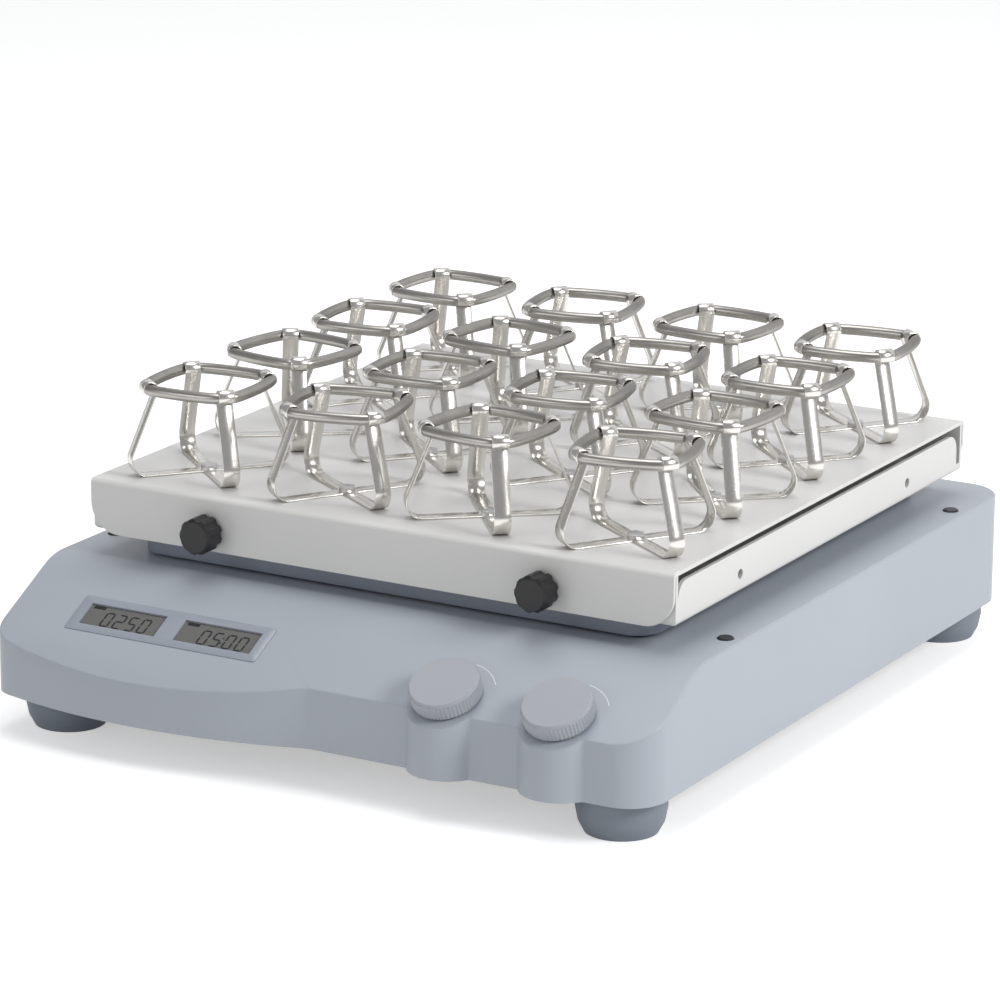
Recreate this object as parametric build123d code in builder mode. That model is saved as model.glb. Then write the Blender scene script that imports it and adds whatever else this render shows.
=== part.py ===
"""Digital orbital shaker with a spring-clamp flask tray, in millimetres.

The origin is on the bench under the middle of the housing, with +Z up and the control panel
facing -Y. A vertical crankshaft carries the table on an eccentric pin, and four idler cranks
keep the table square to the housing while it circles.
"""
import os
from math import acos, atan2, cos, degrees, hypot, radians, sin, sqrt, tan

from build123d import *

os.makedirs("parts", exist_ok=True)

# Housing
housing_width = 370.0
housing_depth = 428.0
housing_underside = 20.3
plateau_height = 78.6
wall = 3.0
rim_radius = 1.2
rear_corner_radius = 22.0
left_corner_radius = 15.0
right_corner_radius = 20.0

# Sloping control panel at the front
panel_angle = 27.7
panel_depth = 68.0
panel_blend_radius = 36.0
bulge_radius = 290.0
bulge_inset = 90.0
bulge_reach = 15.8
bulge_blend_radius = 18.0
knob_boss_radius = 20.0
knob_boss_blend_radius = 2.5
knob_boss_setback = 25.8
knob_mean_inset = 82.0
knob_spacing = 61.4

# Display
bezel_width = 112.4
bezel_height = 24.0
bezel_thickness = 3.4
bezel_proud = 0.4
bezel_corner_radius = 1.5
bezel_inset = 92.8
bezel_down_slope = 37.0
window_width = 45.0
window_height = 14.8
window_spacing = 55.8
lcd_thickness = 2.0
lcd_recess = 1.0

# Control knobs and their push-to-press encoders
knob_diameter = 35.5
knob_height = 8.6
knob_rib_count = 60
knob_rib_depth = 0.5
push_travel = 0.8
knob_gap = push_travel + 0.6
shaft_diameter = 6.0
shaft_flat = 4.5
bushing_diameter = 7.0
encoder_width = 14.0
encoder_height = 7.5
rotor_diameter = 10.0
rotor_height = 3.0
board_thickness = 1.6
board_depth = 38.0
encoder_gap = 0.4
board_margin = 25.0

# Feet and base plate
foot_side_inset = 27.0
foot_front_inset = 42.4
foot_rear_inset = 24.6
foot_diameter = 44.4
foot_floor_diameter = 36.0
foot_rim_height = 6.5
foot_flank_inset = 1.3
foot_gap = 1.5
foot_neck_diameter = 22.0
base_plate_thickness = 2.0
base_plate_clearance = 0.3
boss_height = 4.5
boss_radius = 5.0

# Plugs over the housing screws
plug_side_inset = 8.8
plug_front_inset = 112.3
plug_rear_inset = 55.5
plug_diameter = 8.6
plug_dome = 0.9
column_radius = 7.0
housing_screw_depth = 10.0

# Drive: crankshaft, idler cranks, belt and motor
table_y = 28.4
throw = 5.0
idler_spacing = 220.0
running_clearance = 0.05
body_clearance = 0.4
main_journal_diameter = 17.0
main_bearing_diameter = 35.0
main_bearing_width = 10.0
main_housing_length = 29.0
main_housing_wall = 5.0
main_flange_diameter = 66.0
main_pin_diameter = 12.0
main_pin_bearing_diameter = 28.0
main_pin_bearing_width = 8.0
idler_journal_diameter = 8.0
idler_bearing_diameter = 22.0
idler_bearing_width = 7.0
idler_housing_length = 24.0
idler_housing_wall = 4.0
pulley_width = 11.0
pulley_radius = 44.0
pulley_floor_gap = 4.5
motor_pulley_radius = 11.0
pulley_flange = 1.5
belt_thickness = 1.6
belt_clearance = 0.3
counterweight_radius = 58.0
counterweight_thickness = 6.0
motor_x = -108.0
motor_diameter = 62.0
motor_height = 27.0
motor_shaft_diameter = 6.0
bracket_thickness = 3.0

# Table plate, pan and tray
plate_width = 294.0
plate_length = 308.0
plate_underside = 80.0
plate_height = 11.3
plate_skin = 4.0
plate_corner_radius = 14.0
plate_rib = 3.0
plate_skirt = 4.0
pan_screw_diameter = 4.0
pan_screw_spacing_x = 200.0
pan_screw_spacing_y = 120.0
sheet = 2.0
bend_radius = 2.6
pan_width = 332.6
pan_wall_height = 21.5
pan_corner_radius = 9.0
pan_rear_gap = 4.0
tray_width = 332.7
tray_depth = 332.3
tray_skirt = 28.0
tray_skirt_radius = 16.0
tray_fit = 0.6
side_hole_spacing = 191.6
side_hole_height = 9.3
side_hole_diameter = 5.1

# Thumb screws that hold the tray on the pan
thumb_diameter = 18.7
thumb_length = 12.0
thumb_scallops = 9
thumb_scallop_radius = 3.0
thumb_scallop_depth = 0.9
thumb_chamfer = 1.6
thumb_stud_diameter = 5.0
thumb_pitch = 0.8
thumb_turns = 8
thumb_stud_length = 5.6 + thumb_pitch * thumb_turns
washer_gap = 0.3
washer_thickness = 1.0
washer_diameter = 13.0

# Flask clamps
clamp_pitch = 82.0
clamps_per_side = 4
clamp_turns = ((4, 12, -6, 11), (-9, 3, 8, -4), (6, -7, 10, 2), (-3, 9, -5, 7))
strip_width = 8.5
strip_thickness = 0.8
strip_reach = 42.0
strip_bend_radius = 8.0
ring_tube_radius = 2.9
ring_radius = 31.2
ring_height = 45.5
ring_bow = 1.5
hook_clearance = 0.3
hook_sweep = 225.0
hook_steps = 5
bend_steps = 3
ring_chamfer = 1.7
clamp_screw_diameter = 4.9
clamp_screw_head = 9.2
clamp_screw_head_height = 2.4
clamp_screw_length = 9.0

# Power supply board
supply_inset = 67.0
supply_y = 68.0
supply_width = 76.0
supply_depth = 98.0
supply_post_height = 5.0
supply_post_radius = 3.0
supply_post_inset = 4.0
transformer_width = 32.0
transformer_depth = 30.0
transformer_height = 19.0
transformer_offset = 16.0
filter_width = 16.0
filter_depth = 34.0
filter_height = 14.0
filter_offset = 21.0
coil_width = 20.0
coil_height = 13.0
coil_offset = 18.0
capacitor_radius = 9.0
capacitor_height = 20.0
capacitor_offset = 15.0

# Rear panel
recess_width = 92.0
recess_height = 32.0
recess_depth = 3.0
recess_inset = 80.0
recess_z = 47.0
inlet_width = 27.4
inlet_height = 20.0
inlet_depth = 20.0
inlet_flange_width = 34.0
inlet_flange_height = 26.0
inlet_flange = 2.0
inlet_offset = -19.0
switch_width = 13.0
switch_height = 19.4
switch_depth = 16.0
switch_offset = 23.0
switch_flange = 1.6
rocker_tilt = 8.0

# Places worked out from the driving sizes
front_y = -housing_depth / 2
rear_y = housing_depth / 2
left_x = -housing_width / 2
right_x = housing_width / 2
bulge_x = left_x + bulge_inset
bezel_x = left_x + bezel_inset
knob_mean_x = right_x - knob_mean_inset
recess_x = right_x - recess_inset
inlet_x = recess_x + inlet_offset
switch_x = recess_x + switch_offset
straight_y = front_y + bulge_reach
break_y = front_y + panel_depth
under_top = plateau_height - wall
plate_top = plate_underside + plate_height
floor_top = plate_top + sheet
tray_top = plate_top + pan_wall_height + 5.7
main_y = table_y + throw
table_centre = (0.0, table_y)
main_axis = (0.0, main_y)
idler_axes = [
    (side_x * idler_spacing / 2, main_y + side_y * idler_spacing / 2)
    for side_y in (-1, 1)
    for side_x in (-1, 1)
]
knob_y = front_y + knob_boss_setback
knob_places = {
    "speed": knob_mean_x - knob_spacing / 2,
    "time": knob_mean_x + knob_spacing / 2,
}
knob_down_slope = (break_y - knob_y) / cos(radians(panel_angle))
base_top = housing_underside + base_plate_thickness
panel = Plane(
    origin=(0, break_y, plateau_height),
    x_dir=(1, 0, 0),
    z_dir=(0, -sin(radians(panel_angle)), cos(radians(panel_angle))),
)


def panel_plane(x, down_slope, above):
    """A plane parallel to the control panel, centred at a place on it."""
    return Plane(
        origin=panel.from_local_coords(Vector(x, -down_slope, above)),
        x_dir=(1, 0, 0),
        z_dir=panel.z_dir,
    )


def save(part, name):
    """Label a finished piece and write its STEP file."""
    part.label = name
    export_step(part, f"parts/{name}.step")


# Housing shell
def housing_outline(inset):
    """Plan of the housing, moved inwards by inset."""
    arc_centre_y = front_y + bulge_radius
    arc_left_y = arc_centre_y - sqrt(bulge_radius**2 - (left_x - bulge_x) ** 2)
    arc_end_x = bulge_x + sqrt(bulge_radius**2 - (bulge_radius - bulge_reach) ** 2)
    with BuildSketch() as outline:
        with BuildLine():
            bulge = ThreePointArc((left_x, arc_left_y), (bulge_x, front_y), (arc_end_x, straight_y))
            Polyline(bulge @ 1, (right_x, straight_y), (right_x, rear_y), (left_x, rear_y), bulge @ 0)
        make_face()
        fillet(outline.vertices().group_by(Axis.Y)[-1], radius=rear_corner_radius)
        for corner, radius in (
            ((left_x, arc_left_y), left_corner_radius),
            ((right_x, straight_y), right_corner_radius),
            ((arc_end_x, straight_y), bulge_blend_radius),
        ):
            fillet(outline.vertices().sort_by_distance(corner)[0], radius=radius)
        with Locations(*[(x, knob_y) for x in knob_places.values()]):
            Circle(knob_boss_radius)
        boss_half_width = sqrt(knob_boss_radius**2 - (straight_y - knob_y) ** 2)
        creases = [
            outline.vertices().sort_by_distance((x + side * boss_half_width, straight_y))[0]
            for x in knob_places.values()
            for side in (-1, 1)
        ]
        fillet(creases, radius=knob_boss_blend_radius)
        if inset:
            offset(amount=-inset, kind=Kind.INTERSECTION)
    return outline.sketch


def side_profile(inset, low):
    """Side view of the housing, with the plateau, the blend and the sloping panel."""
    top = plateau_height - inset
    bend_y = break_y + inset * tan(radians(panel_angle / 2))
    nose_y = front_y - 5
    nose_z = top - (bend_y - nose_y) * tan(radians(panel_angle))
    with BuildSketch(Plane.YZ) as profile:
        with BuildLine():
            Polyline(
                (nose_y, low), (nose_y, nose_z), (bend_y, top), (rear_y + 5, top), (rear_y + 5, low), close=True
            )
        make_face()
        fillet(
            profile.vertices().sort_by_distance((0, bend_y, top))[0],
            radius=panel_blend_radius - inset,
        )
    return profile.sketch


def housing_block(inset, low):
    """Solid inside the housing's outer face, or inside its wall."""
    with BuildPart() as block:
        with BuildSketch(Plane.XY.offset(low)):
            add(housing_outline(inset))
        extrude(amount=plateau_height - low)
        extrude(side_profile(inset, low), amount=housing_width / 2 + 5, both=True, mode=Mode.INTERSECT)
        if not inset:
            rim_edges = (
                block.faces()
                .filter_by(lambda face: face.normal_at().Z > 0.5)
                .edges()
                .filter_by(lambda edge: edge.length < housing_width - 1)
            )
            fillet(rim_edges, radius=rim_radius)
    return block.part


housing_screw_centres = [
    (x, y)
    for x in (left_x + plug_side_inset, right_x - plug_side_inset)
    for y in (front_y + plug_front_inset, rear_y - plug_rear_inset)
]
recess_floor_y = rear_y - recess_depth

with BuildPart() as housing_shell:
    add(housing_block(0, housing_underside))
    add(housing_block(wall, housing_underside - 5), mode=Mode.SUBTRACT)
    with BuildSketch(Plane.XY.offset(base_top + boss_height)):
        with Locations(*housing_screw_centres):
            Circle(column_radius)
    extrude(until=Until.NEXT)
    with Locations((recess_x, recess_floor_y - wall / 2 - 0.01, recess_z)):
        Box(recess_width + 2 * wall, wall + 0.02, recess_height + 2 * wall)
    with Locations((recess_x, rear_y, recess_z)):
        Box(recess_width, 2 * recess_depth, recess_height, mode=Mode.SUBTRACT)
    with Locations((inlet_x, recess_floor_y, recess_z)):
        Box(inlet_width + 0.4, 4 * wall, inlet_height + 0.4, mode=Mode.SUBTRACT)
    with Locations((switch_x, recess_floor_y, recess_z)):
        Box(switch_width + 0.4, 4 * wall, switch_height + 0.4, mode=Mode.SUBTRACT)
    with Locations(*[(x, y, plateau_height) for x, y in housing_screw_centres]):
        CounterBoreHole(2.3, plug_diameter / 2, housing_screw_depth)
    with Locations((*main_axis, plateau_height)):
        Hole(main_pin_diameter / 2 + throw + 7.0, depth=wall)
    with Locations(*[(x, y, plateau_height) for x, y in idler_axes]):
        Hole(idler_journal_diameter / 2 + throw + 4.0, depth=wall)
    with BuildSketch(panel_plane(bezel_x, bezel_down_slope, 5)):
        RectangleRounded(bezel_width + 0.2, bezel_height + 0.2, bezel_corner_radius)
    extrude(amount=-12, mode=Mode.SUBTRACT)
    for knob_x in knob_places.values():
        with BuildSketch(panel_plane(knob_x, knob_down_slope, 5)):
            Circle(bushing_diameter / 2 + 0.1)
        extrude(amount=-12, mode=Mode.SUBTRACT)
save(housing_shell.part, "housing_shell")

# Base plate, feet and the screws and plugs of the housing
foot_centres = [
    (x, y)
    for y in (front_y + foot_front_inset, rear_y - foot_rear_inset)
    for x in (left_x + foot_side_inset, right_x - foot_side_inset)
]
foot_names = ("foot_front_left", "foot_front_right", "foot_rear_left", "foot_rear_right")
housing_screw_radius = 2.0
foot_screw_radius = 2.5
foot_recess_depth = 8.0

with BuildPart() as base_plate:
    with BuildSketch(Plane.XY.offset(housing_underside)):
        add(housing_outline(wall + base_plate_clearance))
    extrude(amount=base_plate_thickness)
    with BuildSketch(Plane.XY.offset(base_top)):
        with Locations(*housing_screw_centres, *foot_centres):
            Circle(boss_radius)
    extrude(amount=boss_height)
    with Locations(*[(x, y, base_top + boss_height) for x, y in housing_screw_centres]):
        Hole(housing_screw_radius + running_clearance)
    with Locations(*[(x, y, base_top + boss_height) for x, y in foot_centres]):
        Hole(foot_screw_radius + running_clearance)
save(base_plate.part, "base_plate")

for foot_name, foot_centre in zip(foot_names, foot_centres):
    foot_top = housing_underside - foot_gap
    foot_radius = foot_diameter / 2
    floor_radius = foot_floor_diameter / 2
    with BuildPart() as foot:
        with BuildSketch(Plane.XZ):
            with BuildLine():
                Polyline(
                    (floor_radius, 0),
                    (foot_radius - foot_flank_inset, 0.45 * (foot_top - foot_rim_height)),
                    (foot_radius, foot_top - foot_rim_height),
                    (foot_radius, foot_top),
                    (foot_neck_diameter / 2, foot_top),
                    (foot_neck_diameter / 2, housing_underside),
                    (foot_screw_radius + 0.2, housing_underside),
                    (foot_screw_radius + 0.2, foot_recess_depth),
                    (2.4 * foot_screw_radius, foot_recess_depth),
                    (2.4 * foot_screw_radius, 0),
                    close=True,
                )
            make_face()
        revolve(axis=Axis.Z)
    save(Pos(*foot_centre, 0) * foot.part, foot_name)

with BuildPart() as foot_screws:
    with BuildSketch(Plane.XY.offset(foot_recess_depth)):
        with Locations(*foot_centres):
            RegularPolygon(1.8 * foot_screw_radius, 6)
    extrude(amount=-3.5)
    with BuildSketch(Plane.XY.offset(foot_recess_depth)):
        with Locations(*foot_centres):
            Circle(foot_screw_radius)
    extrude(amount=base_top + boss_height - foot_recess_depth)
save(foot_screws.part, "foot_screws")

with BuildPart() as housing_screws:
    with BuildSketch(Plane.XY.offset(plateau_height - housing_screw_depth)):
        with Locations(*housing_screw_centres):
            RegularPolygon(1.8 * housing_screw_radius, 6)
    extrude(amount=1.5 * housing_screw_radius)
    with BuildSketch(Plane.XY.offset(base_top)):
        with Locations(*housing_screw_centres):
            Circle(housing_screw_radius)
    extrude(amount=plateau_height - housing_screw_depth - base_top)
save(housing_screws.part, "housing_screws")

with BuildPart() as hole_plugs:
    plug_bottom = plateau_height - housing_screw_depth + 1.5 * housing_screw_radius + body_clearance
    with BuildSketch(Plane.XY.offset(plug_bottom)):
        with Locations(*housing_screw_centres):
            Circle(plug_diameter / 2 - running_clearance)
    extrude(amount=plateau_height + plug_dome - plug_bottom)
    chamfer(hole_plugs.faces().group_by(Axis.Z)[-1].edges(), length=0.8 * plug_dome)
save(hole_plugs.part, "hole_plugs")

# Display on the sloping panel
window_centres = [
    bezel_x - window_spacing / 2,
    bezel_x + window_spacing / 2,
]
board_drop = wall + encoder_gap + encoder_height

with BuildPart() as display_bezel:
    with BuildSketch(panel_plane(bezel_x, bezel_down_slope, bezel_proud)):
        RectangleRounded(bezel_width, bezel_height, bezel_corner_radius)
        with Locations((-window_spacing / 2, 0), (window_spacing / 2, 0)):
            Rectangle(window_width, window_height, mode=Mode.SUBTRACT)
    extrude(amount=-bezel_thickness)
save(display_bezel.part, "display_bezel")

with BuildPart() as lcd_modules:
    for window_x in window_centres:
        with BuildSketch(panel_plane(window_x, bezel_down_slope, bezel_proud - lcd_recess)):
            Rectangle(window_width - 0.2, window_height - 0.2)
        extrude(amount=-(bezel_thickness - lcd_recess))
        with BuildSketch(panel_plane(window_x, bezel_down_slope, bezel_proud - bezel_thickness)):
            Rectangle(window_width + 2 * lcd_thickness, window_height + 2 * lcd_thickness)
        extrude(amount=-(board_drop + bezel_proud - bezel_thickness))
save(lcd_modules.part, "lcd_modules")

with BuildPart() as control_board:
    with BuildSketch(panel_plane(0, bezel_down_slope, -board_drop)):
        Rectangle(housing_width - 2 * board_margin, board_depth)
    extrude(amount=-board_thickness)
save(control_board.part, "control_board")

# Push encoders: body, keyed rotor, D-shaft and knob for each control
shaft_radius = shaft_diameter / 2
shaft_foot = encoder_gap + wall + rotor_height + 2.5
shaft_top = knob_gap + knob_height - 2.0
rotor_foot = encoder_gap + wall + rotor_height + 2.7
cavity_foot = board_drop - 1.0


def shaft_section(clearance):
    """Round shaft with one flat, grown by a clearance."""
    with BuildSketch() as section:
        Circle(shaft_radius + clearance)
        with Locations((0, shaft_flat - shaft_radius + clearance + shaft_radius)):
            Rectangle(2 * shaft_diameter, shaft_diameter, mode=Mode.SUBTRACT)
    return section.sketch


with BuildPart() as encoder_bodies:
    for knob_x in knob_places.values():
        with BuildSketch(panel_plane(knob_x, knob_down_slope, -board_drop)):
            Rectangle(encoder_width, encoder_width)
        extrude(amount=encoder_height)
        with BuildSketch(panel_plane(knob_x, knob_down_slope, -wall - encoder_gap)):
            Circle(bushing_diameter / 2)
        extrude(amount=wall + encoder_gap + 0.5)
        with BuildSketch(panel_plane(knob_x, knob_down_slope, -cavity_foot)):
            Circle(rotor_diameter / 2 + 0.1)
        extrude(amount=rotor_height + 1.1, mode=Mode.SUBTRACT)
        with BuildSketch(panel_plane(knob_x, knob_down_slope, -cavity_foot)):
            Circle(shaft_radius + running_clearance)
        extrude(amount=cavity_foot + 2.0, mode=Mode.SUBTRACT)
save(encoder_bodies.part, "encoder_bodies")

for knob_name, knob_x in knob_places.items():
    with BuildPart() as encoder_rotor:
        with BuildSketch(panel_plane(knob_x, knob_down_slope, -rotor_foot)):
            Circle(rotor_diameter / 2)
            add(shaft_section(running_clearance), mode=Mode.SUBTRACT)
        extrude(amount=rotor_height)
    save(encoder_rotor.part, f"{knob_name}_rotor")

    with BuildPart() as encoder_shaft:
        with BuildSketch(panel_plane(knob_x, knob_down_slope, -shaft_foot)):
            add(shaft_section(0))
        extrude(amount=shaft_foot + shaft_top)
    save(encoder_shaft.part, f"{knob_name}_shaft")

    knob_radius = knob_diameter / 2
    cap_height = 1.4
    with BuildPart() as knob:
        with BuildSketch(panel_plane(knob_x, knob_down_slope, knob_gap)):
            with BuildLine():
                Polyline(
                    *[
                        Vector(knob_radius - knob_rib_depth * (step % 2), 0).rotate(
                            Axis.Z, 180 * step / knob_rib_count
                        )
                        for step in range(2 * knob_rib_count)
                    ],
                    close=True,
                )
            make_face()
        extrude(amount=knob_height - cap_height)
        with BuildSketch(panel_plane(knob_x, knob_down_slope, knob_gap + knob_height - cap_height)):
            Circle(knob_radius - knob_rib_depth)
        extrude(amount=cap_height, taper=25)
        with BuildSketch(panel_plane(knob_x, knob_down_slope, knob_gap)):
            Circle(knob_radius - 3.0)
            Circle(shaft_radius + 2.5, mode=Mode.SUBTRACT)
        extrude(amount=knob_height - 3.0, mode=Mode.SUBTRACT)
        with BuildSketch(panel_plane(knob_x, knob_down_slope, knob_gap)):
            Circle(shaft_radius + 2.6)
        extrude(amount=1.0, mode=Mode.SUBTRACT)
        with BuildSketch(panel_plane(knob_x, knob_down_slope, knob_gap)):
            add(shaft_section(running_clearance))
        extrude(amount=knob_height - 1.8, mode=Mode.SUBTRACT)
    save(knob.part, f"{knob_name}_knob")

# Main drive: bearing housing, crankshaft, pulley and counterweight
web_bottom = under_top + body_clearance
web_top = plate_underside - 0.6
shoulder_top = web_top + 1.5
table_bearing_bottom = shoulder_top + 0.3
main_bearing_radius = main_bearing_diameter / 2
main_housing_bottom = under_top - main_housing_length
pulley_bottom = base_top + pulley_floor_gap
pulley_top = pulley_bottom + pulley_width
bearing_lip = 1.0
upper_bearing_bottom = under_top - bearing_lip - main_bearing_width
lower_bearing_bottom = main_housing_bottom + bearing_lip / 2
idler_housing_bottom = under_top - idler_housing_length
upper_idler_bottom = under_top - bearing_lip - idler_bearing_width
lower_idler_bottom = idler_housing_bottom + bearing_lip / 2


def bearing_carrier(axes, bore_radius, barrel_radius, flange_radius, length, bearing_width):
    """Flanged barrels under the plateau, each with a pocket for a bearing at both ends."""
    with BuildPart() as carrier:
        with BuildSketch(Plane.XY.offset(under_top)):
            with Locations(*axes):
                Circle(flange_radius)
        extrude(amount=-4.0)
        with BuildSketch(Plane.XY.offset(under_top)):
            with Locations(*axes):
                Circle(barrel_radius)
        extrude(amount=-length)
        with BuildSketch(Plane.XY.offset(under_top)):
            with Locations(*axes):
                Circle(bore_radius - 2.5)
        extrude(amount=-length, mode=Mode.SUBTRACT)
        with BuildSketch(Plane.XY.offset(under_top)):
            with Locations(*axes):
                Circle(bore_radius + running_clearance)
        extrude(amount=-(bearing_lip + bearing_width), mode=Mode.SUBTRACT)
        with BuildSketch(Plane.XY.offset(under_top - length)):
            with Locations(*axes):
                Circle(bore_radius + running_clearance)
        extrude(amount=bearing_lip / 2 + bearing_width, mode=Mode.SUBTRACT)
    return carrier.part


def bearing_rings(places, outer_radius, bore_radius, width):
    """One ring for each bearing, standing on its place."""
    with BuildPart() as rings:
        for x, y, bottom in places:
            with BuildSketch(Plane.XY.offset(bottom)):
                with Locations((x, y)):
                    Circle(outer_radius)
                    Circle(bore_radius, mode=Mode.SUBTRACT)
            extrude(amount=width)
    return rings.part


main_carrier = bearing_carrier(
    [main_axis],
    main_bearing_radius,
    main_bearing_radius + main_housing_wall,
    main_flange_diameter / 2,
    main_housing_length,
    main_bearing_width,
)
save(main_carrier, "main_bearing_housing")

main_rings = bearing_rings(
    [(*main_axis, upper_bearing_bottom), (*main_axis, lower_bearing_bottom)],
    main_bearing_radius,
    main_journal_diameter / 2,
    main_bearing_width,
)
save(main_rings, "main_bearings")

idler_radius = idler_bearing_diameter / 2
idler_carrier = bearing_carrier(
    idler_axes,
    idler_radius,
    idler_radius + idler_housing_wall,
    idler_radius + 2.5 * idler_housing_wall,
    idler_housing_length,
    idler_bearing_width,
)
save(idler_carrier, "idler_bearing_housings")

idler_rings = bearing_rings(
    [(x, y, bottom) for x, y in idler_axes for bottom in (upper_idler_bottom, lower_idler_bottom)],
    idler_radius,
    idler_journal_diameter / 2,
    idler_bearing_width,
)
save(idler_rings, "idler_bearings")


def crank(axis, foot, journal_diameter, pin_diameter, web_radius, pin_length):
    """Journal, web in the plateau's hole, shoulder and eccentric pin."""
    x, y = axis
    journal_radius = journal_diameter / 2 - running_clearance
    pin_radius = pin_diameter / 2 - running_clearance
    with BuildPart() as shaft:
        for bottom, top, radius, centre_y in (
            (foot, web_bottom, journal_radius, y),
            (web_bottom, web_top, web_radius, y),
            (web_top, shoulder_top, pin_radius + 1.5, y - throw),
            (shoulder_top, table_bearing_bottom + pin_length, pin_radius, y - throw),
        ):
            with BuildSketch(Plane.XY.offset(bottom)):
                with Locations((x, centre_y)):
                    Circle(radius)
            extrude(amount=top - bottom)
    return shaft.part


main_web_radius = main_pin_diameter / 2 + throw + 4.0
crankshaft = crank(
    main_axis,
    base_top + 3.0,
    main_journal_diameter,
    main_pin_diameter,
    main_web_radius,
    main_pin_bearing_width - 0.5,
)
save(crankshaft, "crankshaft")

idler_names = (
    "idler_crank_front_left",
    "idler_crank_front_right",
    "idler_crank_rear_left",
    "idler_crank_rear_right",
)
for idler_name, idler_axis in zip(idler_names, idler_axes):
    idler_crank = crank(
        idler_axis,
        lower_idler_bottom,
        idler_journal_diameter,
        idler_journal_diameter,
        idler_journal_diameter / 2 + throw + 1.0,
        idler_bearing_width - 0.5,
    )
    save(idler_crank, idler_name)


def flanged_pulley(axis, belt_radius, bore_radius):
    """Flat belt pulley with a rim flange above and below the belt."""
    with BuildPart() as pulley:
        for bottom, height, radius in (
            (pulley_bottom, pulley_flange, belt_radius + 2.5),
            (pulley_bottom + pulley_flange, pulley_width - 2 * pulley_flange, belt_radius),
            (pulley_top - pulley_flange, pulley_flange, belt_radius + 2.5),
        ):
            with BuildSketch(Plane.XY.offset(bottom)):
                with Locations(axis):
                    Circle(radius)
                    Circle(bore_radius, mode=Mode.SUBTRACT)
            extrude(amount=height)
    return pulley.part


main_bore_radius = main_journal_diameter / 2
motor_axis = (motor_x, main_y)
hub_radius = main_bore_radius + 8.0
web_thickness = 4.0
with BuildPart() as drive_pulley:
    add(flanged_pulley(main_axis, pulley_radius, main_bore_radius))
    for side_z, recess_plane in ((1, pulley_bottom), (-1, pulley_top)):
        with BuildSketch(Plane.XY.offset(recess_plane)):
            with Locations(main_axis):
                Circle(pulley_radius - 5.0)
                Circle(hub_radius, mode=Mode.SUBTRACT)
        extrude(amount=side_z * (pulley_width - web_thickness) / 2, mode=Mode.SUBTRACT)
save(drive_pulley.part, "drive_pulley")

with BuildPart() as counterweight:
    with BuildSketch(Plane.XY.offset(pulley_top)):
        with Locations(main_axis):
            Circle(counterweight_radius)
            Rectangle(
                2 * counterweight_radius,
                counterweight_radius,
                align=(Align.CENTER, Align.MAX),
                mode=Mode.SUBTRACT,
            )
            Circle(hub_radius)
            Circle(main_bore_radius, mode=Mode.SUBTRACT)
    extrude(amount=counterweight_thickness)
save(counterweight.part, "counterweight")

# Motor, its bracket, its pulley and the belt
bracket_top = pulley_top + 3.7 + bracket_thickness
post_offset = 0.5 * motor_diameter + 5.0
motor_bore_depth = 0.75 * motor_height
with BuildPart() as motor:
    with BuildSketch(Plane.XY.offset(bracket_top)):
        with Locations(motor_axis):
            Circle(motor_diameter / 2)
    extrude(amount=motor_height)
    chamfer(motor.faces().sort_by(Axis.Z)[-1].edges(), length=2.0)
    with BuildSketch(Plane.XY.offset(bracket_top)):
        with Locations(motor_axis):
            Circle(motor_shaft_diameter / 2 + running_clearance)
    extrude(amount=motor_bore_depth, mode=Mode.SUBTRACT)
save(motor.part, "motor")

with BuildPart() as motor_bracket:
    with BuildSketch(Plane.XY.offset(bracket_top - bracket_thickness)):
        with Locations(motor_axis):
            RectangleRounded(2 * post_offset + 10, 2 * post_offset + 10, 5.0)
            Circle(motor_pulley_radius + 4.0, mode=Mode.SUBTRACT)
    extrude(amount=bracket_thickness)
    with BuildSketch(Plane.XY.offset(bracket_top)):
        with Locations(motor_axis):
            with GridLocations(2 * post_offset, 2 * post_offset, 2, 2):
                Circle(4.0)
    extrude(amount=under_top - bracket_top)
save(motor_bracket.part, "motor_bracket")

motor_shaft_radius = motor_shaft_diameter / 2
with BuildPart() as motor_pulley:
    add(flanged_pulley(motor_axis, motor_pulley_radius, motor_shaft_radius))
    with BuildSketch(Plane.XY.offset(pulley_bottom)):
        with Locations(motor_axis):
            Circle(motor_shaft_radius)
    extrude(amount=bracket_top + motor_bore_depth - 1.0 - pulley_bottom)
save(motor_pulley.part, "motor_pulley")


def belt_outline(thickness):
    """Taut loop round both pulleys, at a distance from their rims."""
    with BuildSketch() as loop:
        with Locations(main_axis):
            Circle(pulley_radius + belt_clearance + thickness)
        with Locations(motor_axis):
            Circle(motor_pulley_radius + belt_clearance + thickness)
        make_hull()
    return loop.sketch


with BuildPart() as drive_belt:
    with BuildSketch(Plane.XY.offset(pulley_bottom + pulley_flange + belt_clearance)):
        add(belt_outline(belt_thickness))
        add(belt_outline(0), mode=Mode.SUBTRACT)
    extrude(amount=pulley_width - 2 * pulley_flange - 2 * belt_clearance)
save(drive_belt.part, "drive_belt")

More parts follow.
